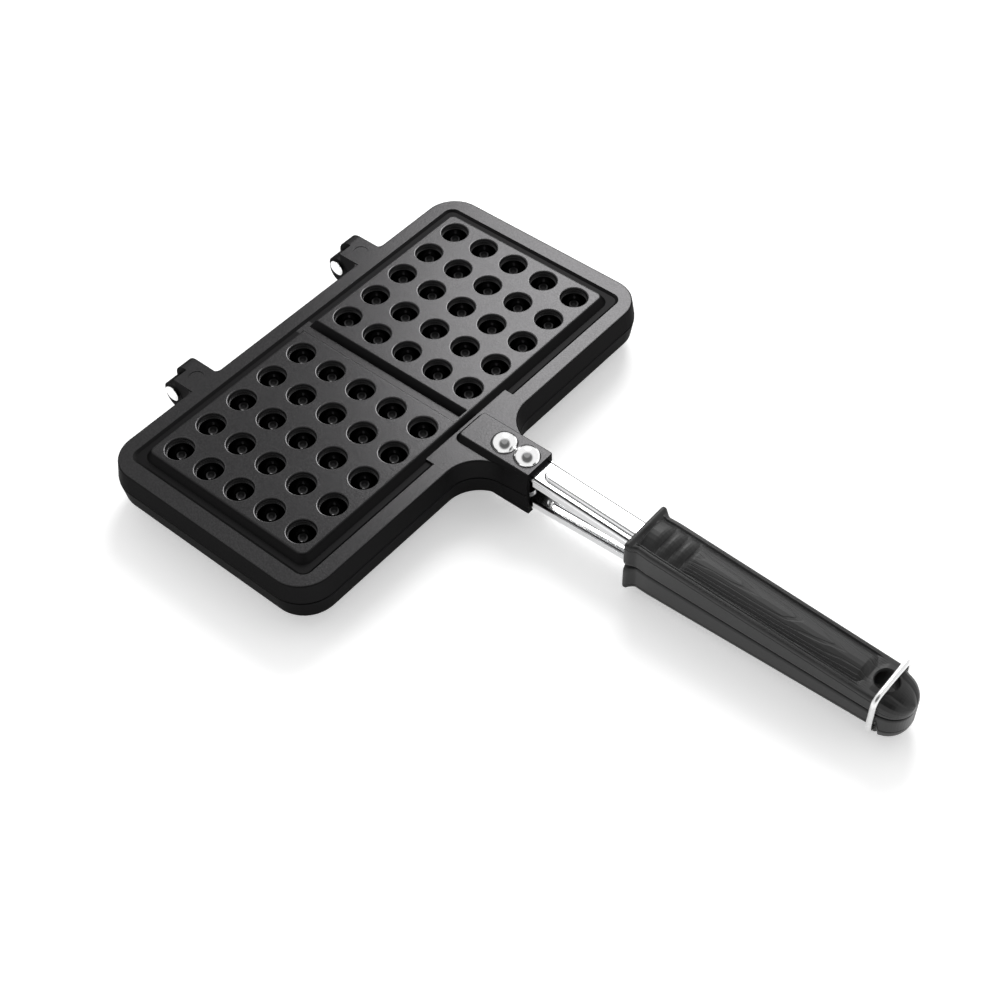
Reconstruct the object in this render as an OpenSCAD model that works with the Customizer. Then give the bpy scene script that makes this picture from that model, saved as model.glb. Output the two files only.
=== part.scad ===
// Stovetop waffle iron: two hinged cast pans, riveted shanks, moulded grips, wire bail.
// X runs along the handles towards the bail, Y along the hinge line, Z is up.
// Both halves are the same casting: the lower one is the upper one turned over
// about X, which puts its hinge eyes on the other side of each tab.
// The shapes are drawn about the seam, Z = 0, and the middle of the pits.

/* [Pans] */
// Width of the pans along the hinge line
pan_width = 220; // [200:1:240]
// Depth of each pan from back edge to front edge, at the seam
pan_depth = 117.2; // [108:0.2:128]
// Corner radius of the pans in plan
pan_corner = 16; // [12:0.5:20]
// Height from the seam to the flat flange
flange_height = 9.3; // [8.9:0.1:10]
// Height of the raised fields above the flange
field_rise = 2.7; // [2.3:0.1:3.2]
// Lean of the pan's side walls over their height
draft = 1.2; // [0.6:0.1:1.6]
// Casting thickness over the moulds
cast_wall = 3; // [2.7:0.1:3.3]
// Inset from the pan's front and back edge to the field's crest
field_inset_x = 13.9; // [13:0.1:15]
// Inset from the pan's end edge to the field's crest
field_inset_y = 14.5; // [13.5:0.1:15.5]

/* [Pits and moulds] */
// Pits in one row across each field
pit_rows = 5; // [4:1:6]
// Pit mouth as a share of the pit spacing
pit_share = 0.7; // [0.62:0.01:0.74]
// Casting thickness at the end of each peg
peg_wall = 2.8; // [2.4:0.1:3.2]
// Open height between facing pegs
batter_gap = 5.2; // [4.6:0.1:6]

/* [Necks and rivets] */
// Distance the neck stands out from the pan's front edge
neck_length = 26.8; // [25:0.2:30]
// Half width of the neck where it leaves the pan
neck_half = 10.5; // [10:0.1:11.5]
// Plan radius between the pan and the neck
neck_fillet = 15; // [10:0.5:18]
// Diameter of the rivet domes
rivet_dome = 11.6; // [10:0.1:11.8]
// Height of the rivet domes
rivet_rise = 4.2; // [3.2:0.1:4.8]

/* [Hinges] */
// Distance from the middle of the iron to the middle of each hinge
hinge_place = 51.5; // [35:0.5:65]
// Width of each hinge along the pin
hinge_width = 14.6; // [12:0.2:18]
// Diameter of the hinge pins
pin_diameter = 5; // [4:0.1:5.4]
// Diameter of the hinge pin heads
pin_head = 7.4; // [6.8:0.2:9.6]

/* [Shanks] */
// Half width of the folded shank
shank_half = 6.5; // [6:0.1:6.8]
// Sheet thickness of the shank
sheet = 1.5; // [1.2:0.1:1.8]
// Depth of the shank's folded sides
shank_side = 4; // [3:0.1:4.4]
// Visible length of shank between neck and grip
shank_show = 52.4; // [40:0.5:70]

/* [Grips] */
// Length of the grip from its collar to the bail
grip_length = 113.1; // [100:0.5:130]
// Half width of the grip behind its collar
grip_half = 11.2; // [10.8:0.1:11.8]
// Half width of the grip at the bail
tail_wide = 10.4; // [9.8:0.1:10.6]
// Half width of the flared collar
collar_half = 13; // [12.4:0.1:13.6]
// Height of the grip's shoulders, 12.5 mm behind the collar's face
grip_shoulder = 11.9; // [11.4:0.1:12.2]
// Fall of the shoulders towards the tail, in degrees
grip_fall = 2.2; // [2:0.05:2.6]
// Height of the rounded back above the shoulders
arch_rise = 2.2; // [1:0.1:2.4]
// Extra depth of the lower grip's rounded tail
knob_rise = 7.2; // [5:0.2:8]
// Diameter of the hanging hole
hang_hole = 9.5; // [8:0.1:10]

/* [Bail] */
// Diameter of the bail wire
wire = 2.5; // [2:0.1:2.8]
// Distance of the bail's legs from the middle
bail_half = 12; // [12:0.1:14]

/* [Hidden] */
$fn = 64;
// cuts run this far past the face they open
over = 1;
// steps in a small rounded edge and in a smooth curve
arc_steps = 4;
curve_steps = 8;
tail_steps = 12;

// seam, edges and pan heights
half_gap = 0.15;
rim_round = 0.6;
edge_round = 0.8;
moat_depth = 0.9;
field_z = flange_height + field_rise;
moat_z = flange_height - moat_depth;
ceiling_z = field_z - cast_wall;
half_x = pan_depth / 2;
half_y = pan_width / 2;

// raised fields and the moat round them
crest_x = half_x - field_inset_x;
crest_y = half_y - field_inset_y;
field_lean = 1.8;
field_corner = 5.4;
field_round = 1.5;
moat_width = 5.6;
moat_lean = 1.3;
moat_corner = 4.6;
valley_top = 3.8;
valley_foot = 1.8;
valley_stop = 2.7;
valley_ramp = 0.9;

// pits, set out so that their margins keep their share of the spacing
margin_side_share = 0.569;
margin_end_share = 0.5355;
margin_mid_share = 0.6004;
pitch_x = 2 * crest_x / (pit_rows - 1 + 2 * margin_side_share);
pitch_y = (crest_y - valley_top) / (pit_rows - 1 + margin_end_share + margin_mid_share);
first_y = valley_top + margin_mid_share * pitch_y;
pit_r = pit_share * min(pitch_x, pitch_y) / 2;
peg_tip = batter_gap / 2;
pit_depth = field_z - peg_tip - peg_wall;
pit_lip = 0.6;

// moulds behind the fields, with a peg behind every pit
mould_lean = 2;
mould_x = crest_x - 1.5 + mould_lean;
mould_y = crest_y - 1.5 + mould_lean;
mould_corner = 6;
divider_foot = 3.2;
divider_lean = 1;
divider_low = 0.3;
peg_root = pit_r + 1.2;
peg_waist = peg_root - 1.2;
peg_end = peg_waist - 1.2;
peg_knee = peg_tip + 1.1;

// neck, boss and the channel for the shank
tip_x = half_x + neck_length;
neck_taper = 5.2;
tip_round = 2;
tip_slack = 0.15;
boss_half = neck_half - 0.2;
boss_lean = 2.1;
boss_corner = 4;
boss_start = crest_x + 1.7;
channel_gap = 0.2;
channel_half = shank_half + channel_gap;
channel_start = half_x + 3.4;

// rivets through the boss and the shank's tang
rivet_r = 2.5;
rivet_gap = 0.1;
rivet_back_x = half_x + 8.1;
rivet_space = 11.9;
rivet_xs = [rivet_back_x, rivet_back_x + rivet_space];
upset_r = 4;
upset_height = 1.2;

// hinge
axis_x = -(half_x + 12);
eye_r = pin_diameter / 2 + 2.7;
eye_gap = 0.4;
bore_gap = 0.075;
hinge_gap = 0.3;
tab_end = axis_x - eye_r;
tab_round = 6.6;
cover_end = axis_x + 2.3;
tab_fillet = 2.5;
mark_r = 3.4;
mark_depth = 0.2;
mark_x = -(half_x + 3.4);
pin_head_height = 2;
pin_set_r = pin_diameter / 2 + 0.8;
pin_set_height = 0.9;

// shank, in a frame that leans with the handle from the bend at its neck
bend_x = tip_x + 1.6;
shank_fall = 2.65;
tang_start = channel_start + 0.5;
collar_x = bend_x + shank_show - 2;
rib_half = 3.25;
rib_rise = 1.6;
rib_round = 1.2;
rib_start = 4.8;
rib_wall = 1.3;
tongue_half = 5;
tongue_length = 42;
tongue_gap = 0.15;

// screws and moulded-in inserts that hold the grip on the tongue
screw_shares = [0.26, 0.79];
screw_places = [for (share = screw_shares) share * tongue_length];
screw_r = 1.95;
screw_hole_r = 2.2;
screw_reach = 3.4;
screw_head_r = 3.5;
screw_head_height = 2;
screw_head_edge = 1.2;
cross_long = 4.2;
cross_wide = 0.9;
cross_deep = 1;
insert_r = 3;
insert_bore_r = 2;
insert_height = 4;
insert_flange_r = 3.6;
insert_flange = 0.7;
moulded_gap = 0.02;

// grip
bail_x = collar_x + grip_length;
shoulder_round = 1.3;
tail_round = 5;
tail_round_lead = 2;
tail_round_run = 5;
tail_length = 11.2;
tail_power = 2.2;
collar_flare = 0.4;
collar_flat = 1.5;
collar_curve = 4;
collar_bottom = 3;
waist_dip = 0.35;
waist_curve = 8;
front_round = 1;
shoulder_place = 12.5;
arch_half = 8;
arch_start = collar_x + 4.5;
arch_lead = 1.6;
arch_run = 3.5;
arch_first_share = 0.7;
arch_end = bail_x - 8;
arch_last_share = 0.6;
groove_first = 11.4;
groove_space = 5.8;
groove_share = 0.6;
groove_count = 3;
groove_steps = 6;
bead_drop = 0.4;
bead_wide = 0.8;
bead_deep = 0.3;
pad_rise = 0.9;
pad_half = 7.8;
pad_lead = 4;
hole_lip = 0.9;
hole_back = 1.7;
last_angle = 84;
seam_round = 1.2;
small_round_share = 0.45;
seam_share = 0.3;
tail_round_share = 0.6;
tail_fall_share = 0.45;
// shares that set out the edge line and the hollow beside the rounded back
edge_line = 8.9;
edge_rise = 0.3;
hollow = 0.4;
line_reach_share = 0.9;
line_foot_share = 0.4;
hollow_share = 0.94;
crown_share = 0.9;
knob_start = 1.6;
knob_run = 1.6;
knob_round = 7;
rim_rise = 0.7;
rim_flat = 1.6;
rim_curve = 1.4;

// bail
running_gap = 0.05;
bail_gap = 0.3;
bail_bend = 3.2;
bail_low = 10;
lug_wall = 1.3;
lug_slack = 0.2;
lug_half = bail_half - bail_bend - lug_slack;
elbow_relief = 2.6;
lug_root = 2.8;
grip_top = min(shoulder_z(bail_x) + pad_rise, field_z);
bail_high = ceil(10 * (grip_top + bail_gap + wire / 2)) / 10;
swing_r = bail_high + bail_low - wire / 2 - bail_gap;

// the whole object's origin: middle of its length, height of its lowest rivets
frame_x = (tab_end + bail_x + tail_length) / 2;
frame_z = field_z + rivet_rise;

cast = "#3a3a3c";
bright = "#c8cacc";
black = "#1c1c1e";
brass_tone = "#b8963e";

// arc of arc_steps chords about (cx, cy)
function arc(cx, cy, r, from, to) =
    [for (i = [0:arc_steps]) let (a = from + (to - from) * i / arc_steps)
        [cx + r * cos(a), cy + r * sin(a)]];
function smooth(t) = let (u = max(0, min(1, t))) u * u * (3 - 2 * u);

// side walls as [inset, height]: rounded at the seam, leaning in, rounded on top
pan_wall = concat(
    arc(rim_round, half_gap + rim_round, rim_round, 270, 180),
    arc(draft + edge_round, flange_height - edge_round, edge_round, 180, 90));
field_wall = concat([[0, moat_z - edge_round], [0, moat_z]],
    arc(field_lean + field_round, field_z - field_round, field_round, 160, 90));
moat_wall = [[moat_lean, moat_z], [0, flange_height], [-moat_lean, flange_height + over]];
boss_wall = concat([[0, moat_z - edge_round], [0, flange_height - edge_round]],
    arc(boss_lean + edge_round, field_z - edge_round, edge_round, 140, 90));
mould_wall = [[-mould_lean, -over], [0, 0], [mould_lean, ceiling_z]];

// block with rounded corners in plan, its walls following a wall profile
module soft_block(bx, by, corner, wall) {
    count = len(wall);
    low = wall[0][1];
    high = wall[count - 1][1];
    for (sx = [-1, 1], sy = [-1, 1])
        translate([sx * (bx - corner), sy * (by - corner), 0])
            rotate_extrude()
                polygon(concat([[0, low]], [for (p = wall) [corner - p[0], p[1]]],
                    [[0, high]]));
    rotate([90, 0, 0])
        linear_extrude(2 * (by - corner), center = true)
            wall_section(bx, wall);
    rotate([90, 0, 90])
        linear_extrude(2 * (bx - corner), center = true)
            wall_section(by, wall);
}

module wall_section(reach, wall) {
    count = len(wall);
    polygon(concat([for (p = wall) [reach - p[0], p[1]]],
        [for (i = [count - 1:-1:0]) [wall[i][0] - reach, wall[i][1]]]));
}

// extrudes a drawing of (y, z) along X, or of (x, z) along Y
module along_x(from, to) {
    translate([from, 0, 0]) rotate([90, 0, 90]) linear_extrude(to - from) children();
}
module along_y(from, to) {
    translate([0, to, 0]) rotate([90, 0, 0]) linear_extrude(to - from) children();
}
module rod_y(x, z, from, to, r) {
    translate([x, from, z]) rotate([-90, 0, 0]) cylinder(r = r, h = to - from);
}

// the leaning frame of shank, screws and inserts, with Z = 0 on the shank's top
module leaning() {
    translate([bend_x, 0, ceiling_z]) rotate([0, shank_fall, 0]) children();
}
module placed() {
    translate([-frame_x, 0, frame_z]) children();
}
module turned_over() {
    rotate([180, 0, 0]) children();
}

// CASTING

function neck_y(x) = neck_half - (x - half_x - neck_half) * tan(neck_taper);

module neck_side() {
    translate([half_x, neck_y(half_x), 0])
        rotate(-neck_taper)
            along_x(-edge_round, neck_length + neck_half)
                polygon(concat([[-neck_half, half_gap]],
                    [for (p = pan_wall) [-p[0], p[1]]],
                    [[-neck_half, flange_height]]));
}

// the web between pan and neck, hollowed by a round cutter with the pan's own lean
module neck_web() {
    centre_x = half_x + neck_fillet;
    centre_y = neck_y(centre_x) + neck_fillet / cos(neck_taper);
    difference() {
        translate([crest_x, -centre_y, half_gap])
            cube([centre_x - crest_x, 2 * centre_y, flange_height - half_gap]);
        for (side = [-1, 1])
            translate([centre_x, side * centre_y, 0])
                rotate_extrude()
                    polygon(concat([[0, half_gap - over], [neck_fillet + rim_round, half_gap - over]],
                        [for (p = pan_wall) [neck_fillet + p[0], p[1]]],
                        [[neck_fillet + draft + edge_round, flange_height + over],
                         [0, flange_height + over]]));
    }
}

// plan limit of the neck: open towards the pan, round at its tip's corners
module tip_plan() {
    back = tip_x - tip_round;
    side = neck_y(back) + tip_slack;
    union() {
        translate([0, -half_y]) square([back, 2 * half_y]);
        translate([0, tip_round - side]) square([tip_x, 2 * (side - tip_round)]);
        for (s = [-1, 1]) translate([back, s * (side - tip_round)]) circle(tip_round);
    }
}

module boss() {
    middle = (boss_start + tip_x + neck_half) / 2;
    intersection() {
        translate([middle, 0, 0])
            soft_block(middle - boss_start, boss_half, boss_corner, boss_wall);
        linear_extrude(field_z + over)
            polygon([[0, neck_y(0) - draft], [tip_x + over, neck_y(tip_x + over) - draft],
                [tip_x + over, draft - neck_y(tip_x + over)], [0, draft - neck_y(0)]]);
    }
}

module neck() {
    intersection() {
        union() {
            neck_side();
            mirror([0, 1, 0]) neck_side();
            boss();
        }
        translate([0, 0, -over]) linear_extrude(field_z + 2 * over) tip_plan();
    }
    neck_web();
}

module fields() {
    difference() {
        soft_block(crest_x + field_lean, crest_y + field_lean, field_corner, field_wall);
        valley();
    }
}

// groove between the two fields, open at the hinge side and closed by a bar in front
module valley() {
    lip = edge_round;
    intersection() {
        along_x(-half_x, half_x)
            polygon(concat([[-valley_foot, moat_z], [valley_foot, moat_z]],
                [for (p = arc(valley_top + lip, field_z - lip, lip, 160, 90)) p],
                [[valley_top + lip, field_z + over], [-valley_top - lip, field_z + over]],
                [for (p = arc(-valley_top - lip, field_z - lip, lip, 90, 20)) p]));
        along_y(-half_x, half_x)
            polygon([[-half_x, moat_z - over], [crest_x - valley_stop, moat_z - over],
                [crest_x - valley_stop, moat_z], [crest_x - valley_stop + valley_ramp, field_z],
                [crest_x - valley_stop + valley_ramp, field_z + 2 * over],
                [-half_x, field_z + 2 * over]]);
    }
}

module at_pits() {
    for (side = [-1, 1], i = [0:pit_rows - 1], j = [0:pit_rows - 1])
        translate([(i - (pit_rows - 1) / 2) * pitch_x, side * (first_y + j * pitch_y), 0])
            children();
}

module pit() {
    centre_z = field_z - pit_depth + pit_r;
    translate([0, 0, centre_z]) sphere(pit_r);
    rotate_extrude()
        polygon(concat([[0, min(centre_z, field_z - pit_lip)], [pit_r, min(centre_z, field_z - pit_lip)]],
            [for (p = arc(pit_r + pit_lip, field_z - pit_lip, pit_lip, 180, 90)) p],
            [[pit_r + pit_lip, field_z + over], [0, field_z + over]]));
}

module peg() {
    rotate_extrude()
        polygon([[0, peg_tip], [peg_end, peg_tip], [peg_waist, peg_knee],
            [peg_root, ceiling_z], [peg_root, ceiling_z + over], [0, ceiling_z + over]]);
}

// the two moulds: one wide pocket, less the ridge between them and the pegs
module moulds() {
    difference() {
        soft_block(mould_x, mould_y, mould_corner, mould_wall);
        along_x(-half_x, half_x)
            polygon([[-divider_foot, ceiling_z + over], [divider_foot, ceiling_z + over],
                [divider_foot, ceiling_z], [divider_foot - divider_lean, divider_low],
                [divider_lean - divider_foot, divider_low], [-divider_foot, ceiling_z]]);
        at_pits() peg();
    }
}

// one tab for both hinges' places: own eye on its +Y half, cover over the other's eye
module hinge_tab(y) {
    low = y - hinge_width / 2;
    high = y + hinge_width / 2;
    inner = -(half_x - draft - edge_round) + over;
    root_x = -(half_x - draft);
    difference() {
        along_y(low, high)
            polygon([[inner, half_gap], [inner, flange_height], [cover_end, flange_height],
                [cover_end, half_gap]]);
        rod_y(axis_x, 0, low - over, high + over, eye_r + eye_gap);
    }
    along_y(y + hinge_gap / 2, high)
        union() {
            translate([tab_end + tab_round, half_gap])
                square([inner - tab_end - tab_round, flange_height - half_gap]);
            intersection() {
                translate([tab_end + tab_round, flange_height - tab_round]) circle(tab_round);
                translate([tab_end, half_gap]) square([2 * tab_round, flange_height - half_gap]);
            }
            translate([tab_end, 0]) square([axis_x - tab_end, flange_height - tab_round]);
            translate([axis_x, 0]) circle(eye_r);
        }
    difference() {
        translate([root_x - tab_fillet, low - tab_fillet, half_gap + rim_round])
            cube([tab_fillet + edge_round, hinge_width + 2 * tab_fillet,
                flange_height - half_gap - rim_round - edge_round / 2]);
        for (side = [low - tab_fillet, high + tab_fillet])
            translate([root_x - tab_fillet, side, -over])
                cylinder(r = tab_fillet, h = flange_height + 2 * over);
    }
}

module pan() {
    difference() {
        union() {
            difference() {
                soft_block(half_x, half_y, pan_corner, pan_wall);
                soft_block(crest_x + moat_width, crest_y + moat_width, moat_corner, moat_wall);
            }
            fields();
            neck();
            for (s = [-1, 1]) hinge_tab(s * hinge_place);
        }
        moulds();
        at_pits() pit();
        along_x(channel_start, tip_x + over)
            translate([-channel_half, -over]) square([2 * channel_half, ceiling_z + over]);
        for (x = rivet_xs)
            translate([x, 0, 0]) cylinder(r = rivet_r + rivet_gap, h = field_z + over);
        for (s = [-1, 1]) {
            rod_y(axis_x, 0, s * hinge_place, s * hinge_place + hinge_width,
                pin_diameter / 2 + bore_gap);
            translate([mark_x, s * hinge_place, flange_height - mark_depth])
                cylinder(r = mark_r, h = over);
        }
    }
}

// HINGE PINS AND RIVETS

module dome(r, rise) {
    ball = (r * r + rise * rise) / (2 * rise);
    intersection() {
        translate([0, 0, rise - ball]) sphere(ball);
        cylinder(r = r + over, h = rise + over);
    }
}

module hinge_pin(y) {
    low = y - hinge_width / 2;
    high = y + hinge_width / 2;
    rod_y(axis_x, 0, low - pin_head_height / 2, high + hinge_gap / 2 + pin_set_height,
        pin_diameter / 2);
    rod_y(axis_x, 0, low - pin_head_height / 2, low, pin_head / 2);
    translate([axis_x, low - pin_head_height / 2, 0])
        rotate([90, 0, 0]) dome(pin_head / 2, pin_head_height / 2);
    rod_y(axis_x, 0, high + hinge_gap / 2, high + hinge_gap / 2 + pin_set_height, pin_set_r);
}

module rivet(x) {
    translate([x, 0, field_z]) dome(rivet_dome / 2, rivet_rise);
    translate([x, 0, ceiling_z - sheet]) cylinder(r = rivet_r, h = cast_wall + sheet + over);
    translate([x, 0, ceiling_z - sheet - upset_height])
        cylinder(r = upset_r, h = upset_height);
}

// SHANK

module rib_section(half, rise, round) {
    union() {
        translate([-half, -sheet]) square([2 * half, sheet + rise - round]);
        translate([round - half, -sheet]) square([2 * (half - round), sheet + rise]);
        for (s = [-1, 1]) translate([s * (half - round), rise - round]) circle(round);
    }
}

module shank_section() {
    inner = shank_half - sheet;
    difference() {
        union() {
            translate([-shank_half, -shank_side]) square([2 * shank_half, shank_side - sheet]);
            translate([-inner, -shank_side]) square([2 * inner, shank_side]);
            for (s = [-1, 1]) translate([s * inner, -sheet]) circle(sheet);
        }
        translate([-inner, -shank_side - over]) square([2 * inner, shank_side + over - sheet]);
    }
}

module rib_form(half, rise, round, to) {
    along_x(rib_start, to) rib_section(half, rise, round);
    translate([rib_start, 0, 0])
        rotate_extrude()
            intersection() {
                rib_section(half, rise, round);
                translate([0, -half]) square([half, 2 * half]);
            }
}

module shank() {
    difference() {
        union() {
            translate([tang_start, -shank_half, ceiling_z - sheet])
                cube([bend_x - tang_start, 2 * shank_half, sheet]);
            leaning() {
                along_x(0, shank_show) shank_section();
                rib_form(rib_half, rib_rise, rib_round, shank_show);
                translate([shank_show - over, -tongue_half, -sheet])
                    cube([tongue_length + over, 2 * tongue_half, sheet]);
            }
        }
        leaning() {
            translate([0, 0, -sheet - over])
                rib_form(rib_half - rib_wall, rib_rise - rib_wall + sheet + over, rib_wall,
                    shank_show - over);
            for (place = screw_places)
                translate([shank_show + place, 0, -sheet - over])
                    cylinder(r = screw_hole_r, h = sheet + 2 * over);
        }
        for (x = rivet_xs)
            translate([x, 0, ceiling_z - sheet - over])
                cylinder(r = rivet_r + rivet_gap, h = sheet + 2 * over);
    }
}

// GRIP SCREWS AND INSERTS

module grip_screw(place) {
    leaning() translate([shank_show + place, 0, -sheet])
        difference() {
            union() {
                cylinder(r = screw_r, h = sheet + screw_reach);
                translate([0, 0, -screw_head_edge]) cylinder(r = screw_head_r, h = screw_head_edge);
                translate([0, 0, -screw_head_edge]) rotate([180, 0, 0])
                    dome(screw_head_r, screw_head_height - screw_head_edge);
            }
            for (turn = [0, 90])
                rotate(turn)
                    translate([-cross_long / 2, -cross_wide / 2, -screw_head_height - over])
                        cube([cross_long, cross_wide, cross_deep + over]);
        }
}

module insert_body(gap) {
    cylinder(r = insert_r + gap, h = insert_height + gap);
    cylinder(r = insert_flange_r + gap, h = insert_flange + gap);
}

module grip_insert(place) {
    leaning() translate([shank_show + place, 0, 0])
        difference() {
            insert_body(0);
            translate([0, 0, -over]) cylinder(r = insert_bore_r, h = insert_height + 2 * over);
        }
}

// GRIP, a smooth moulded shell drawn as rings across X

function shoulder_z(x) =
    grip_shoulder - (x - collar_x - shoulder_place) * tan(grip_fall);
function collar_share(x) = 1 - smooth((x - collar_x - collar_flat) / collar_curve);
function front_inset(x) =
    let (d = max(0, front_round - (x - collar_x)))
        front_round - sqrt(max(0, front_round * front_round - d * d));
function body_half(x) = grip_half + (tail_wide - grip_half) * (x - collar_x) / grip_length;
function tail_share(x) = max(0, min(1, (x - bail_x) / tail_length));
function tail_half(x) = body_half(min(x, bail_x))
    * pow(max(0, 1 - pow(tail_share(x), tail_power)), 1 / tail_power);
function ring_half(x) = tail_half(x) + (collar_half - grip_half) * collar_share(x)
    - waist_dip * (1 - collar_share(x))
        * (1 - smooth((x - collar_x - collar_curve) / waist_curve)) - front_inset(x);
function pad_at(x) = pad_rise * smooth((x - arch_end) / pad_lead);
function swing_top(x) =
    x < bail_x ? 2 * field_z : sqrt(swing_r * swing_r - pow(x - bail_x, 2)) - bail_low;
// 1 along the rounded back, 0 at the collar and behind the back's end
function back_share(x) = smooth((x - arch_start + arch_lead) / arch_lead)
    * (1 - smooth((x - arch_end + arch_run) / arch_run));
// 1 in the middle of a finger groove, falling to 0 half way to the next
function groove_at(x) =
    let (turn = (x - collar_x - groove_first) / groove_space)
        turn > -0.5 && turn < groove_count - 0.5 ? 1 - abs(sin(180 * turn)) : 0;
function ring_rise(x) = x < arch_end ? arch_rise * back_share(x) : pad_at(x);
function knob_share(x, low) = low * smooth((x - bail_x - knob_start) / knob_run);
function rim_at(x) = rim_rise * (1 - smooth((x - collar_x - rim_flat) / rim_curve));
// low is 0 for the upper grip, which the bail swings over, and 1 for the lower one
function ring_shoulder(x, low) =
    let (plain = shoulder_z(x) + collar_flare * collar_share(x) + rim_at(x) - front_inset(x),
        fall = 1 - tail_fall_share * (1 - sqrt(1 - pow(tail_share(x), 2))))
        fall * (low > 0 ? plain + knob_rise * knob_share(x, low)
            : min(plain, swing_top(x) - ring_rise(x)));
function ring_crown(x) =
    x < arch_start ? arch_half * (arch_first_share + (1 - arch_first_share)
            * smooth((x - arch_start + arch_lead) / arch_lead))
        : x < arch_end ? arch_half * max(arch_last_share,
            sqrt(1 - pow(max(0, min(1, (x - arch_end + arch_run) / arch_run)), 2)))
        : arch_half * arch_last_share
            + (pad_half - arch_half * arch_last_share) * smooth((x - arch_end) / pad_lead);
function ring_round(x, low) = shoulder_round
    + (tail_round - shoulder_round) * smooth((x - bail_x + tail_round_lead) / tail_round_run)
    + (knob_round - tail_round) * knob_share(x, low);

// one ring as [y, z] pairs: seam corner, side with its bead line, shoulder, edge line
function half_ring(half, top, round, bottom, drop, bead, back) =
    let (inner = half - round, line = min(edge_line, line_reach_share * inner))
        concat(
            arc(half - bottom, half_gap + bottom, bottom, -90, 0),
            [[half, top - round - drop - bead], [half - bead * bead_deep / bead_wide,
                top - round - drop - bead / 2], [half, top - round - drop]],
            arc(half - round, top - round, round, 0, 90),
            [[line + line_foot_share * (inner - line), top], [line, top + edge_rise * back],
                [hollow_share * line, top - hollow * back]]);
function ring(x, low) =
    let (half = ring_half(x), top = ring_shoulder(x, low), back = back_share(x),
        crest = (ring_rise(x) + hollow * back) * (1 - groove_share * groove_at(x))
            * (1 - knob_share(x, low)),
        tall = top - half_gap,
        round = min(ring_round(x, low), tail_round_share * half, tail_round_share * tall),
        bottom = min(seam_round + (collar_bottom - seam_round) * collar_share(x),
            small_round_share * half, seam_share * tall),
        room = tall - round - bottom,
        bead = min(bead_wide, room / 4), drop = min(bead_drop, room / 4),
        crown = min(ring_crown(x), crown_share * min(edge_line, line_reach_share * (half - round))),
        side = half_ring(half, top, round, bottom, drop, bead, back), count = len(side))
        concat(
            [for (p = side) [x, p[0], p[1]]],
            [for (i = [-curve_steps / 2:curve_steps / 2]) let (t = -2 * i / curve_steps)
                [x, crown * t, top - hollow * back + crest * (1 - t * t)]],
            [for (i = [count - 1:-1:0]) [x, -side[i][0], side[i][1]]]);

function span(from, to, steps) = [for (i = [0:steps]) from + (to - from) * i / steps];
stations = concat(
    span(collar_x, collar_x + front_round, arc_steps),
    span(collar_x + collar_flat, collar_x + collar_flat + collar_curve, curve_steps),
    span(collar_x + groove_first - groove_space / 2,
        collar_x + groove_first + (groove_count - 0.5) * groove_space, groove_steps * groove_count),
    span(arch_end - arch_run, arch_end, arc_steps),
    span(arch_end + pad_lead / arc_steps, arch_end + pad_lead, arc_steps - 1),
    span(bail_x - tail_round_lead, bail_x, 2),
    span(bail_x + knob_start, bail_x + knob_start + knob_run, 2),
    [for (i = [arc_steps:tail_steps]) bail_x + tail_length * sin(last_angle * i / tail_steps)]);

module grip_shell(low) {
    rings = [for (x = stations) ring(x, low)];
    wide = len(rings[0]);
    long = len(rings);
    polyhedron(
        points = [for (r = rings) for (p = r) p],
        faces = concat(
            [[for (j = [0:wide - 1]) j]],
            [[for (j = [wide - 1:-1:0]) (long - 1) * wide + j]],
            [for (i = [0:long - 2], j = [0:wide - 1]) let (k = (j + 1) % wide)
                [i * wide + j, (i + 1) * wide + j, (i + 1) * wide + k]],
            [for (i = [0:long - 2], j = [0:wide - 1]) let (k = (j + 1) % wide)
                [i * wide + j, (i + 1) * wide + k, i * wide + k]]),
        convexity = 6);
}

module shank_pocket() {
    deep = grip_shoulder + over;
    leaning() {
        translate([shank_show - tongue_gap - over, -tongue_half - tongue_gap, -deep])
            cube([tongue_length + 2 * tongue_gap + over, 2 * (tongue_half + tongue_gap), deep]);
        translate([0, -shank_half - tongue_gap, -deep])
            cube([shank_show + tongue_gap, 2 * (shank_half + tongue_gap), deep + tongue_gap]);
        translate([0, -rib_half - tongue_gap, 0])
            cube([shank_show + tongue_gap, 2 * (rib_half + tongue_gap), rib_rise + tongue_gap]);
        for (place = screw_places) {
            translate([shank_show + place, 0, 0]) insert_body(moulded_gap);
            translate([shank_show + place, 0, -deep])
                cylinder(r = screw_head_r + tongue_gap, h = deep);
        }
    }
}

module grip(low) {
    hole_x = bail_x - hole_back;
    difference() {
        grip_shell(low);
        shank_pocket();
        translate([hole_x, 0, -over]) cylinder(d = hang_hole, h = 2 * field_z);
        if (low == 0)
            translate([hole_x, 0, grip_top - hole_lip])
                cylinder(r1 = hang_hole / 2, r2 = hang_hole / 2 + hole_lip + over,
                    h = hole_lip + over);
    }
}

// lug that carries the bail's pivot bar, on the lower grip only
module bail_lug() {
    outer = wire / 2 + lug_wall;
    difference() {
        along_y(-lug_half, lug_half)
            union() {
                translate([bail_x, bail_low]) circle(outer);
                translate([bail_x - outer, bail_low - lug_root]) square([2 * outer, lug_root]);
            }
        translate([bail_x - hole_back, 0, 0]) cylinder(d = hang_hole, h = 2 * field_z);
    }
}

module pivot_grip() {
    difference() {
        union() {
            grip(1);
            bail_lug();
        }
        rod_y(bail_x, bail_low, -bail_half, bail_half, wire / 2 + running_gap);
        for (s = [-1, 1])
            rod_y(bail_x, bail_low, min(s * lug_half, s * bail_half),
                max(s * lug_half, s * bail_half), elbow_relief);
    }
}

// BAIL, a closed wire loop round both grips

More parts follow.
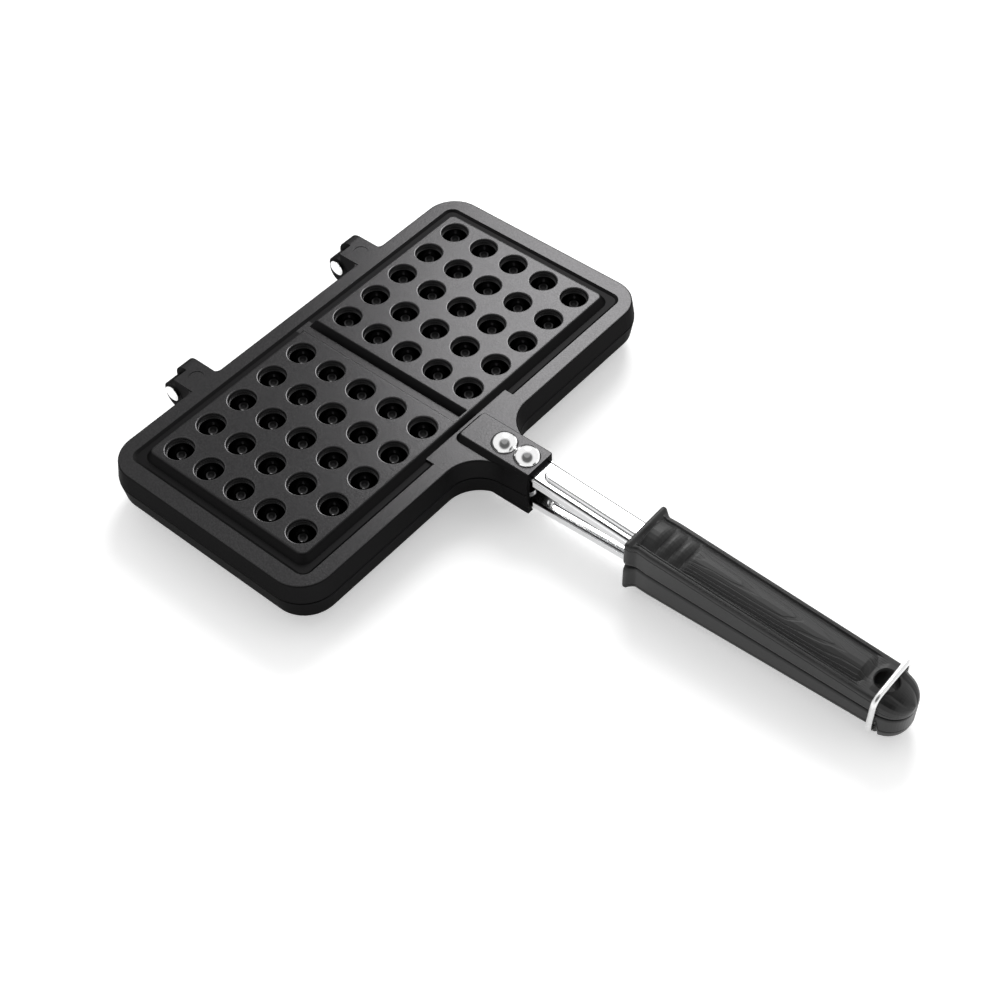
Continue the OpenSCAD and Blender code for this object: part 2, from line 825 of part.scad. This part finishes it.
module wire_corner(sy, sz) {
    reach = bail_bend + wire;
    intersection() {
        rotate([90, 0, 90]) rotate_extrude() translate([bail_bend, 0]) circle(d = wire);
        translate([-wire, sy > 0 ? 0 : -reach, sz > 0 ? 0 : -reach]) cube([2 * wire, reach, reach]);
    }
}

module bail() {
    straight = bail_half - bail_bend;
    middle = (bail_high - bail_low) / 2;
    leg = bail_high - middle - bail_bend;
    translate([bail_x, 0, middle]) {
        for (sy = [-1, 1], sz = [-1, 1])
            translate([0, sy * straight, sz * leg]) wire_corner(sy, sz);
        for (s = [-1, 1]) {
            rod_y(0, s * (leg + bail_bend), -straight, straight, wire / 2);
            translate([0, s * bail_half, -leg]) cylinder(d = wire, h = 2 * leg);
        }
    }
}

// NODES

module lower_pan() { color(cast) placed() turned_over() pan(); }
module upper_pan() { color(cast) placed() pan(); }
module lower_shank() { color(bright) placed() turned_over() shank(); }
module upper_shank() { color(bright) placed() shank(); }
module lower_rivet_front() { color(bright) placed() turned_over() rivet(rivet_xs[1]); }
module lower_rivet_rear() { color(bright) placed() turned_over() rivet(rivet_xs[0]); }
module upper_rivet_front() { color(bright) placed() rivet(rivet_xs[1]); }
module upper_rivet_rear() { color(bright) placed() rivet(rivet_xs[0]); }
module lower_grip() { color(black) placed() turned_over() pivot_grip(); }
module upper_grip() { color(black) placed() grip(0); }
module lower_grip_screw_front() { color(bright) placed() turned_over() grip_screw(screw_places[1]); }
module lower_grip_screw_rear() { color(bright) placed() turned_over() grip_screw(screw_places[0]); }
module upper_grip_screw_front() { color(bright) placed() grip_screw(screw_places[1]); }
module upper_grip_screw_rear() { color(bright) placed() grip_screw(screw_places[0]); }
module lower_grip_insert_front() { color(brass_tone) placed() turned_over() grip_insert(screw_places[1]); }
module lower_grip_insert_rear() { color(brass_tone) placed() turned_over() grip_insert(screw_places[0]); }
module upper_grip_insert_front() { color(brass_tone) placed() grip_insert(screw_places[1]); }
module upper_grip_insert_rear() { color(brass_tone) placed() grip_insert(screw_places[0]); }
module hinge_pin_left() { color(bright) placed() hinge_pin(hinge_place); }
module hinge_pin_right() { color(bright) placed() hinge_pin(-hinge_place); }
module locking_bail() { color(bright) placed() bail(); }

lower_pan();
upper_pan();
lower_shank();
upper_shank();
lower_rivet_front();
lower_rivet_rear();
upper_rivet_front();
upper_rivet_rear();
lower_grip();
upper_grip();
lower_grip_screw_front();
lower_grip_screw_rear();
upper_grip_screw_front();
upper_grip_screw_rear();
lower_grip_insert_front();
lower_grip_insert_rear();
upper_grip_insert_front();
upper_grip_insert_rear();
hinge_pin_left();
hinge_pin_right();
locking_bail();
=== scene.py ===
"""Looks of the stovetop waffle iron, laid out as a Blender add-on.

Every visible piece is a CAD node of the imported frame.  Each operator below
gives one group of like pieces its procedural material, and the last one sets
up the camera, the floor and the lights.  Lengths are metres in the frame's own
axes: +X along the handles towards the bail, +Y along the hinge line, +Z up.
"""

import bpy
import numpy as np
from mathutils import Matrix, Vector


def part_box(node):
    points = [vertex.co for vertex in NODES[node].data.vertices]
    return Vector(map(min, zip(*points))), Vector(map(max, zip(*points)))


bl_info = {
    "name": "Stovetop Waffle Iron Looks",
    "version": (1, 1, 0),
    "blender": (4, 5, 0),
    "location": "View3D > Sidebar > Waffle Iron",
    "description": "Procedural materials, camera and lights for a stovetop waffle iron",
    "category": "Material",
}

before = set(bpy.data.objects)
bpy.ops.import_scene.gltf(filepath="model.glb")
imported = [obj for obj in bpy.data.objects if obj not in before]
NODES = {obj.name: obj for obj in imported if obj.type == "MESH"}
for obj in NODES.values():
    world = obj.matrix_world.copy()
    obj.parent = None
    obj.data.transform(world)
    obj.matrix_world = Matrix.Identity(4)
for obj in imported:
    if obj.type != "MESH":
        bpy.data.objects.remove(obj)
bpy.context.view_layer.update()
MM = 0.001
BLACK, WHITE = (0.0, 0.0, 0.0), (1.0, 1.0, 1.0)

# the seam lies midway between the lowest and the highest rivet dome
SEAM_Z = (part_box("lower_rivet_rear")[0].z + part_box("upper_rivet_rear")[1].z) / 2
GRIP_LOW, GRIP_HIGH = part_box("upper_grip")


# SHADER MATHS


class Value:
    """One output socket of a node graph.  Arithmetic on it adds Math nodes."""

    def __init__(self, graph, socket):
        self.graph = graph
        self.socket = socket

    def math(self, operation, *others):
        """One Math node of that operation, on this value and the others."""
        return self.graph.node("ShaderNodeMath", {"operation": operation},
                               dict(enumerate((self, *others))))

    def __add__(self, other):
        return self.math("ADD", other)

    __radd__ = __add__

    def __sub__(self, other):
        return self.math("SUBTRACT", other)

    def __rsub__(self, other):
        return self.math("MULTIPLY_ADD", -1.0, other)

    def __mul__(self, other):
        return self.math("MULTIPLY", other)

    __rmul__ = __mul__

    def __truediv__(self, other):
        return self.math("DIVIDE", other)

    def __rtruediv__(self, other):
        return self.math("POWER", -1.0) * other

    def __neg__(self):
        return self.math("MULTIPLY", -1.0)

    def __abs__(self):
        return self.math("ABSOLUTE")

    def __pow__(self, other):
        return self.math("POWER", other)

    def wave(self):
        """Sine of 2 pi times the value, from 0 to 1."""
        return (self * (2 * np.pi)).math("SINE") * 0.5 + 0.5

    def to_nearest(self, step):
        """Signed distance from the value to the nearest multiple of step."""
        return self - (self / step).math("ROUND") * step

    def step(self, low, high):
        """0 below low, 1 above high, smooth between them."""
        return self.graph.node("ShaderNodeMapRange", {"interpolation_type": "SMOOTHSTEP"},
                               {"Value": self, "From Min": low, "From Max": high})

    def line(self, middle, half):
        """1 at middle, falling to 0 at the distance half on either side."""
        return 1.0 - abs(self - middle).step(0.0, half)

    def between(self, low, high, soft):
        """1 between low and high, falling to 0 over soft outside them."""
        return self.step(low - soft, low) * (1.0 - self.step(high, high + soft))

    def tint(self, first, second):
        """Colour between first, at 0, and second, at 1."""
        return self.graph.node("ShaderNodeMix", {"data_type": "RGBA"},
                               {0: self, 6: colour(first), 7: colour(second)}, output=2)


def colour(value):
    """A colour for a socket: a value as it is, or three numbers with alpha 1."""
    return value if isinstance(value, Value) else (*value, 1.0)


def grey(tone, warmth=0.0):
    """A grey as a colour, a little bluer where warmth is below zero."""
    return (tone * (1.0 + warmth), tone, tone * (1.0 - warmth))


class Graph:
    """A node tree, and the one method that adds nodes to it."""

    def __init__(self, tree):
        self.tree = tree

    def node(self, kind, settings=None, values=None, output=0):
        """Adds a node, sets it up, then fills its sockets with values or links."""
        node = self.tree.nodes.new(kind)
        for name, setting in (settings or {}).items():
            setattr(node, name, setting)
        for socket, value in (values or {}).items():
            if isinstance(value, Value):
                self.tree.links.new(value.socket, node.inputs[socket])
            else:
                node.inputs[socket].default_value = value
        return Value(self, node.outputs[output])

    def parts(self, vector):
        """The X, Y and Z parts of a vector, from one node."""
        first = self.node("ShaderNodeSeparateXYZ", values={0: vector})
        return [Value(self, socket) for socket in first.socket.node.outputs]

    def place(self):
        """Object coordinates as three values, in metres of the frame."""
        return self.parts(self.node("ShaderNodeTexCoord", output="Object"))

    def facing(self):
        """The face's direction as three values, in the piece's own axes."""
        return self.parts(self.node("ShaderNodeTexCoord", output="Normal"))

    def vector(self, x, y, z):
        """Three values joined to one vector."""
        return self.node("ShaderNodeCombineXYZ", values={0: x, 1: y, 2: z})

    def noise(self, vector, scale, detail=2.0, rough=0.5):
        """Cloudy noise with that many lumps to the metre, or to the vector's own unit."""
        return self.node("ShaderNodeTexNoise", values={
            "Vector": vector, "Scale": scale, "Detail": detail, "Roughness": rough})


class Surface(Graph):
    """A material with one Principled shader, and the maths that feeds it."""

    def __init__(self, name, **constants):
        self.material = bpy.data.materials.new(name)
        self.material.use_nodes = True
        super().__init__(self.material.node_tree)
        self.shader = self.tree.nodes["Principled BSDF"]
        for socket, value in constants.items():
            self.shader.inputs[socket.replace("_", " ")].default_value = value
        self.relief = None

    def feed(self, socket, value):
        """Links a value to a socket of the shader."""
        self.tree.links.new(value.socket, self.shader.inputs[socket])

    def bump(self, height, depth, strength=1.0):
        """Adds a relief of that depth in metres on top of any earlier one."""
        values = {"Strength": strength, "Distance": depth, "Height": height}
        if self.relief is not None:
            values["Normal"] = self.relief
        self.relief = self.node("ShaderNodeBump", values=values)
        self.feed("Normal", self.relief)


def dress(surface, *names):
    """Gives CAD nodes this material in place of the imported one."""
    for name in names:
        for slot in NODES[name].material_slots:
            slot.link = "OBJECT"
            slot.material = surface.material


def pair(stem):
    """Names of the lower and the upper piece of one kind."""
    return "lower_" + stem, "upper_" + stem


# SETTINGS


def length(name, default, description):
    """A length in metres, as a property."""
    return bpy.props.FloatProperty(name=name, description=description, default=default,
                                   unit="LENGTH", precision=4)


def share(name, default, description):
    """A number from 0 to 1, as a property."""
    return bpy.props.FloatProperty(name=name, description=description, default=default,
                                   min=0.0, max=1.0, subtype="FACTOR")


def power(name, default, description):
    """A lamp's power in watts, as a property."""
    return bpy.props.FloatProperty(name=name, description=description, default=default,
                                   min=0.0, subtype="POWER")


def direction(name, default, description, subtype="DIRECTION", **kind):
    """A direction, or a place where the subtype says so, as a property."""
    return bpy.props.FloatVectorProperty(name=name, description=description, default=default,
                                         size=3, subtype=subtype, **kind)


class CastingLook(bpy.types.PropertyGroup):
    # painted sheen and painted shade: the face tone draws the level faces lighter and the wall tone
    # draws the upright walls darker than one even coat
    face: share("Face tone", 0.038, "Tone of the level faces of the coat")
    shaded_wall_tone: share("Wall tone", 0.013, "Tone of the upright walls of the castings")
    # painted shade: the moats' floors, though level, are drawn dark
    moat: share("Moat tone", 0.012, "Tone of the moats and of the valley's sides")
    pit: share("Pit tone", 0.036, "Tone inside the pits")
    sheen: share("Roughness", 0.25, "Roughness of the level faces")
    pit_sheen: share("Pit roughness", 0.10, "Roughness inside the pits")
    grid_x: length("Pit grid middle", -92.95 * MM, "Place of the pit grids' middle along X")
    pitch_x: length("Pit spacing in X", 17.4 * MM, "Distance between pits along X")
    pitch_y: length("Pit spacing in Y", 17.855 * MM, "Distance between pits along Y")
    first_y: length("First pit row", 14.52 * MM, "Distance of the first pits from the middle")
    pit_radius: length("Pit radius", 6.09 * MM, "Radius of a pit at its rim")
    pit_bowl: length("Pit bowl", 2.0 * MM, "How much the pits' floors are dished by shading")
    face_low: length("Flange height", 9.3 * MM, "Height of the flange above the seam")
    moat_drop: length("Moat depth", 0.9 * MM, "Depth of the moat below the flange")
    valley_half: length("Valley half width", 3.4 * MM,
                        "Half the width of the valley's lit floor, between the fields")


class SteelLook(bpy.types.PropertyGroup):
    tone: share("Tone", 0.86, "Tone of the bright steel")
    sheen: share("Roughness", 0.17, "Roughness of the stamped sheet")
    brushed: length("Brush depth", 0.02 * MM, "Depth of the fine lines in the steel")
    # painted shade: place and half width of the dark line drawn along each fold
    fold_at: length("Fold place", 5.5 * MM, "Distance of the folds from the shank's middle")
    fold_half: length("Fold half width", 0.8 * MM, "Half the width of a fold's dark line")


class GripLook(bpy.types.PropertyGroup):
    tone: share("Tone", 0.007, "Tone of the black moulding")
    sheen: share("Roughness", 0.36, "Roughness of the moulding")
    back_sheen: share("Back roughness", 0.52, "Roughness of the grained backs")
    grain_depth: length("Grain depth", 0.16 * MM, "Depth of the wood-grain relief")
    grain_start: length("Grain start", 27 * MM, "Distance from the collar to the grain")
    grain_end: length("Grain end", 21 * MM, "Distance from the grain to the tail")


class StageLook(bpy.types.PropertyGroup):
    place: direction("Camera place", (0.286465, -0.358743, 0.548216),
                     "Where the camera stands", subtype="TRANSLATION", unit="LENGTH")
    look: direction("Camera direction", (-0.429623, 0.487883, -0.759864),
                    "Where the camera looks")
    up: direction("Camera up", (-0.47774, 0.591267, 0.649744),
                  "Which way is up in the picture")
    lens: bpy.props.FloatProperty(
        name="Lens", description="Focal length on a 36 mm wide sensor", default=61.985,
        unit="CAMERA")
    floor_tone: share("Floor tone", 0.92, "Tone of the floor")
    floor_lift: share("Floor lift", 0.40,
                      "Added to the floor where it is seen, not where it lights")
    cloth: share("Dark cloth tone", 0.12, "Brightness of the world above the camera")
    backdrop: share("Backdrop tone", 1.0, "Brightness of the world all round it")
    softbox: power("Softbox", 9.0, "Power of the round softbox behind the pans")
    overhead: power("Overhead light", 1.0, "Power of the wide overhead light")


class WaffleIronLook(bpy.types.PropertyGroup):
    casting: bpy.props.PointerProperty(
        type=CastingLook, name="Pans", description="Coat of the castings")
    steel: bpy.props.PointerProperty(
        type=SteelLook, name="Steel", description="Shanks, rivets, pins and bail")
    grip: bpy.props.PointerProperty(
        type=GripLook, name="Grips", description="Black moulded grips")
    stage: bpy.props.PointerProperty(
        type=StageLook, name="Stage", description="Camera, floor, world and lamps")


# PIECES

# pans
PITS_IN_ROW = 5  # along and across each field
SOFT = 0.5 * MM  # over which one tone goes into the next
TIP_HEIGHT = 5.0 * MM  # above the seam, up to which the pegs' tips keep the moulds' tone
LEVEL = (0.80, 0.97)  # Z of a face's direction, from sloping to level
EDGE_TONE = 0.52  # of the coat seen at a low angle
WALL_SHEEN = 0.5  # roughness of the walls and moats
CHARCOAL = (1.0, 0.985, 1.005)  # colour of the coat at full tone

# grips
LOOP_SPACE = 2.6 * MM  # sets how far apart the grain's loops lie across the back
GRAIN_FADE = 5.0 * MM  # length over which the grain fades out at its ends
BACK_TURN = (0.55, 0.85)  # Z of a face's direction, from flank to back
BACK_HEIGHT = (6.5 * MM, 8.0 * MM)  # above the seam, from side to back


class WAFFLE_OT_castings(bpy.types.Operator):
    """Satin charcoal coat on the pans, with painted shade darkening their walls and moats, painted
    sheen lightening their level faces, and glossy pits
    """

    bl_idname = "waffle.castings"
    bl_label = "Pans"

    def execute(self, context):
        look = context.scene.waffle_iron.casting
        coat = Surface("non_stick_coat", Metallic=1.0, Specular_Tint=colour(grey(EDGE_TONE)))
        x, y, z = coat.place()
        height = abs(z - SEAM_Z)
        # the two grids of pits, with almost half a spacing round their outer pits
        along, across = x - look.grid_x, abs(y)
        half_grid = PITS_IN_ROW / 2
        rows = 1.0 - abs(along).step((half_grid - 0.05) * look.pitch_x, half_grid * look.pitch_x)
        margin = 0.46 * look.pitch_y
        last_y = look.first_y + (PITS_IN_ROW - 1) * look.pitch_y
        inside = rows * across.between(look.first_y - margin, last_y + margin, SOFT)
        # distance from the nearest pit's axis
        near_x = along.to_nearest(look.pitch_x)
        near_y = (across - look.first_y).to_nearest(look.pitch_y)
        reach = (near_x * near_x + near_y * near_y) ** 0.5
        outer = height.step(TIP_HEIGHT, TIP_HEIGHT + SOFT)
        pit = inside * outer * (1.0 - reach.step(look.pit_radius - SOFT, look.pit_radius))
        # painted highlight: a thin ring just outside each pit's rim
        lip_highlight = inside * outer * reach.line(look.pit_radius + SOFT / 2, SOFT)
        # painted sheen and painted shade: level faces from the flange up and in the valley get a
        # lighter base colour, walls and moats a darker one
        level = abs(coat.facing()[2]).step(*LEVEL)
        valley = 1.0 - across.step(look.valley_half, look.valley_half + 2 * SOFT)
        raised = height.step(look.face_low - 0.7 * look.moat_drop,
                             look.face_low - 0.3 * look.moat_drop)
        face = level * raised.math("MAXIMUM", valley)
        where = coat.vector(x, y, z)
        speck = coat.noise(where, 1500.0, 2.0, 0.6)
        cloud = coat.noise(where, 30.0, 3.0)
        # share of the face's tone, from 0.69 in the dark specks to 1.35 in the light ones
        grain = speck.step(0.30, 0.72) * 0.50 + 0.77 + (cloud - 0.5) * 0.16
        # painted shade on walls and moats, painted sheen on the level faces, each with its random
        # grain
        tone = level * (look.moat - look.shaded_wall_tone) + look.shaded_wall_tone
        tone = tone + face * (look.face - look.moat) * grain
        tone = tone + (look.pit - tone) * pit
        # painted highlight: the ring round each pit is drawn lighter than the face
        tone = tone + lip_highlight * look.face * 1.3
        coat.feed("Base Color", tone.tint(BLACK, CHARCOAL))
        rough = WALL_SHEEN - face * (WALL_SHEEN - look.sheen) + (speck - 0.5) * 0.08
        coat.feed("Roughness", rough + (look.pit_sheen - rough) * pit)
        # each pit's floor is shaded as a bowl: the square of the reach
        bowl = reach / look.pit_radius
        coat.bump(bowl * bowl * pit, look.pit_bowl)
        coat.bump(speck * (1.0 - pit * 0.8), 0.04 * MM, 0.6)
        dress(coat, *pair("pan"))
        return {"FINISHED"}


class WAFFLE_OT_shanks(bpy.types.Operator):
    """Bright stamped sheet with long drawing lines, and painted shade as dark lines along the
    shank's folds
    """

    bl_idname = "waffle.shanks"
    bl_label = "Shanks"

    def execute(self, context):
        look = context.scene.waffle_iron.steel
        tone = look.tone
        steel = Surface("stamped_steel", Metallic=1.0)
        x, y, z = steel.place()
        # lines a hundred times as long as they are wide
        lines = steel.noise(steel.vector(x * 30.0, y * 3000.0, z * 3000.0), 1.0, 3.0)
        smear = steel.noise(steel.vector(x * 120.0, y * 160.0, z * 160.0), 1.0, 2.0)
        # painted shade: a dark line along each fold at the edges of the channel
        fold = abs(y).line(look.fold_at, look.fold_half)
        sheet = smear.tint(grey(tone * 0.93), grey(tone, -0.01))
        steel.feed("Base Color", fold.tint(sheet, grey(tone * 0.02)))
        steel.feed("Roughness", look.sheen + (lines - 0.5) * 0.12 + (smear - 0.5) * 0.08)
        steel.bump(lines, look.brushed, 0.25)
        dress(steel, *pair("shank"))
        return {"FINISHED"}


class WAFFLE_OT_rivets(bpy.types.Operator):
    """Polished rivet domes and hinge pins with faint setting marks"""

    bl_idname = "waffle.rivets"
    bl_label = "Rivets and hinge pins"

    def execute(self, context):
        tone = context.scene.waffle_iron.steel.tone
        steel = Surface("polished_rivet", Metallic=1.0)
        x, y, z = steel.place()
        marks = steel.noise(steel.vector(x, y, z), 420.0, 2.0)
        steel.feed("Base Color", marks.tint(grey(tone), grey(min(1.0, tone * 1.08))))
        steel.feed("Roughness", marks * 0.10 + 0.10)
        steel.bump(marks, 0.05 * MM, 0.12)
        dress(steel, *pair("rivet_front"), *pair("rivet_rear"), "hinge_pin_left", "hinge_pin_right")
        return {"FINISHED"}


class WAFFLE_OT_grips(bpy.types.Operator):
    """Satin black moulded grips with a wood-grain relief along their backs"""

    bl_idname = "waffle.grips"
    bl_label = "Grips"

    def execute(self, context):
        look = context.scene.waffle_iron.grip
        black = Surface("moulded_grip", Metallic=0.0, IOR=1.48)
        x, y, z = black.place()
        drift = black.noise(black.vector(x * 24.0, y * 120.0, z * 60.0), 1.0, 2.0)
        fine = black.noise(black.vector(x * 60.0, y * 1500.0, z * 1500.0), 1.0, 3.0)
        skin = black.noise(black.vector(x, y, z), 1400.0, 2.0)
        # nested loops: parabolas about the back's middle line, 38 to the metre along
        # it, bent by the drift
        out = y / LOOP_SPACE
        loops = (out * out * 0.50 + x * 38.0 + drift * 2.6).wave()
        band = 1.0 - loops.step(0.05, 0.30)
        zone = x.between(GRIP_LOW.x + look.grain_start, GRIP_HIGH.x - look.grain_end, GRAIN_FADE)
        height = abs(z - SEAM_Z)
        back = abs(black.facing()[2]).step(*BACK_TURN) * height.step(*BACK_HEIGHT)
        grain = band * zone * back
        tone = fine.tint(grey(look.tone * 0.8), grey(look.tone * 1.4))
        black.feed("Base Color", (grain * 0.5).tint(tone, grey(look.tone * 3.0)))
        rough = look.sheen + back * (look.back_sheen - look.sheen)
        black.feed("Roughness", rough + (skin - 0.5) * 0.08 + grain * 0.06)
        black.bump(-grain, look.grain_depth, 0.7)
        black.bump(fine * zone * back, 0.04 * MM, 0.25)
        black.bump(skin, 0.012 * MM, 0.3)
        dress(black, *pair("grip"))
        return {"FINISHED"}


class WAFFLE_OT_screws(bpy.types.Operator):
    """Zinc-plated screws and turned brass inserts inside the grips"""

    bl_idname = "waffle.screws"
    bl_label = "Grip screws and inserts"

    def execute(self, context):
        zinc = Surface("zinc_screw", Metallic=1.0)
        x, y, z = zinc.place()
        spot = zinc.noise(zinc.vector(x, y, z), 700.0, 3.0)
        zinc.feed("Base Color", spot.tint((0.60, 0.62, 0.64), (0.76, 0.77, 0.78)))
        zinc.feed("Roughness", spot * 0.2 + 0.22)
        dress(zinc, *pair("grip_screw_front"), *pair("grip_screw_rear"))
        brass = Surface("turned_brass", Metallic=1.0)
        x, y, z = brass.place()
        # turning marks lie across the axis, which is upright
        rings = brass.noise(brass.vector(x * 60.0, y * 60.0, z * 4000.0), 1.0, 2.0)
        brass.feed("Base Color", rings.tint((0.62, 0.46, 0.20), (0.78, 0.62, 0.32)))
        brass.feed("Roughness", rings * 0.2 + 0.25)
        brass.bump(rings, 0.03 * MM, 0.3)
        dress(brass, *pair("grip_insert_front"), *pair("grip_insert_rear"))
        return {"FINISHED"}


class WAFFLE_OT_bail(bpy.types.Operator):
    """Bright drawn wire with fine lines along the bail"""

    bl_idname = "waffle.bail"
    bl_label = "Bail"

    def execute(self, context):
        tone = context.scene.waffle_iron.steel.tone
        wire = Surface("drawn_wire", Metallic=1.0)
        x, y, z = wire.place()
        lines = wire.noise(wire.vector(x * 4000.0, y * 300.0, z * 300.0), 1.0, 2.0)
        wire.feed("Base Color", lines.tint(grey(tone * 0.90), grey(tone)))
        wire.feed("Roughness", lines * 0.12 + 0.20)
        wire.bump(lines, 0.02 * MM, 0.25)
        dress(wire, "locking_bail")
        return {"FINISHED"}


# STAGE

FLOOR_HALF = 6.0  # metres from the middle to the floor's edges
CLOTH = (0.30, -0.34, 0.89)  # direction of the dark cloth's middle
CLOTH_EDGE = (0.64, 0.84)  # cosines of the angles where the cloth ends and begins
SOFTBOX = {"place": (-0.52, 0.87, 0.90), "aim": (-0.04, 0.10, 0.02), "size": 0.62}
OVERHEAD = {"place": (0.1, -0.1, 1.6), "aim": (0.0, 0.0, 0.0), "size": 1.4}


def round_lamp(name, energy, place, aim, size):
    """Round area light of that size across at place, facing aim."""
    data = bpy.data.lights.new(name, "AREA")
    data.shape = "DISK"
    data.size = size
    data.energy = energy
    lamp = bpy.data.objects.new(name, data)
    lamp.location = place
    lamp.rotation_mode = "QUATERNION"
    lamp.rotation_quaternion = (Vector(aim) - Vector(place)).to_track_quat("-Z", "Y")
    bpy.context.scene.collection.objects.link(lamp)


class WAFFLE_OT_stage(bpy.types.Operator):
    """Camera at the photograph's angle, white floor and soft studio light"""

    bl_idname = "waffle.stage"
    bl_label = "Camera, floor and lights"

    def floor(self, context, look):
        """A square of white paper, lifted by its own light only where it is seen."""
        corners = np.array([(-1, -1, 0), (1, -1, 0), (1, 1, 0), (-1, 1, 0)]) * FLOOR_HALF
        mesh = bpy.data.meshes.new("floor")
        mesh.from_pydata(corners.tolist(), [], [(0, 1, 2, 3)])
        board = bpy.data.objects.new("floor", mesh)
        context.scene.collection.objects.link(board)
        paper = Surface("white_paper", Roughness=0.9, Emission_Strength=1.0)
        x, y, z = paper.place()
        cloud = paper.noise(paper.vector(x, y, z), 3.0, 2.0)
        paper.feed("Base Color", cloud.tint(grey(look.floor_tone * 0.995), grey(look.floor_tone)))
        direct = paper.node("ShaderNodeLightPath", output="Is Camera Ray")
        glossy, through = (Value(paper, direct.socket.node.outputs[name])
                           for name in ("Is Glossy Ray", "Is Transmission Ray"))
        lift = (direct + glossy + through).math("MINIMUM", 1.0) * look.floor_lift
        paper.feed("Emission Color", lift.tint(BLACK, WHITE))
        mesh.materials.append(paper.material)

    def world(self, context, look):
        """White all round, with a dark cloth overhead on the camera's side."""
        world = bpy.data.worlds.new("studio")
        context.scene.world = world
        world.use_nodes = True
        sky = Graph(world.node_tree)
        x, y, z = sky.parts(sky.node("ShaderNodeTexCoord", output="Generated"))
        # cosine of the angle between the ray and the cloth's middle
        near = x * CLOTH[0] + y * CLOTH[1] + z * CLOTH[2]
        tone = near.step(*CLOTH_EDGE).tint(grey(look.backdrop), grey(look.cloth))
        sky.tree.links.new(tone.socket, world.node_tree.nodes["Background"].inputs["Color"])

    def camera(self, context, look):
        """Camera at its place, turned so that its up and its direction are kept."""
        data = bpy.data.cameras.new("camera")
        data.lens = look.lens
        data.sensor_width = 36.0
        data.clip_start, data.clip_end = 0.01, 50.0
        camera = bpy.data.objects.new("camera", data)
        context.scene.collection.objects.link(camera)
        ahead, up = Vector(look.look).normalized(), Vector(look.up).normalized()
        right = ahead.cross(up)
        camera.matrix_world = Matrix.Translation(look.place) @ Matrix(
            (right, up, -ahead)).transposed().to_4x4()
        context.scene.camera = camera

    def execute(self, context):
        look = context.scene.waffle_iron.stage
        self.floor(context, look)
        self.world(context, look)
        round_lamp("softbox", look.softbox, **SOFTBOX)
        round_lamp("overhead", look.overhead, **OVERHEAD)
        self.camera(context, look)
        context.scene.view_settings.view_transform = "Standard"
        return {"FINISHED"}


class WAFFLE_PT_panel(bpy.types.Panel):
    """Buttons and settings of the waffle iron's looks"""

    bl_idname = "WAFFLE_PT_panel"
    bl_label = "Waffle Iron"
    bl_space_type = "VIEW_3D"
    bl_region_type = "UI"
    bl_category = "Waffle Iron"

    def draw(self, context):
        look = context.scene.waffle_iron
        groups = {"castings": look.casting, "shanks": look.steel, "rivets": None,
                  "grips": look.grip, "screws": None, "bail": None, "stage": look.stage}
        for name, settings in groups.items():
            box = self.layout.box()
            box.operator("waffle." + name)
            if settings is not None:
                for key in settings.bl_rna.properties.keys():
                    if key not in {"rna_type", "name"}:
                        box.prop(settings, key)


CLASSES = (
    CastingLook, SteelLook, GripLook, StageLook, WaffleIronLook,
    WAFFLE_OT_castings, WAFFLE_OT_shanks, WAFFLE_OT_rivets, WAFFLE_OT_grips,
    WAFFLE_OT_screws, WAFFLE_OT_bail, WAFFLE_OT_stage, WAFFLE_PT_panel,
)


def register():
    for cls in CLASSES:
        bpy.utils.register_class(cls)
    bpy.types.Scene.waffle_iron = bpy.props.PointerProperty(
        type=WaffleIronLook, name="Waffle iron", description="Looks of the waffle iron")


def unregister():
    del bpy.types.Scene.waffle_iron
    for cls in reversed(CLASSES):
        bpy.utils.unregister_class(cls)


def main():
    register()
    bpy.ops.waffle.castings()
    bpy.ops.waffle.shanks()
    bpy.ops.waffle.rivets()
    bpy.ops.waffle.grips()
    bpy.ops.waffle.screws()
    bpy.ops.waffle.bail()
    bpy.ops.waffle.stage()


if __name__ == "__main__":
    main()
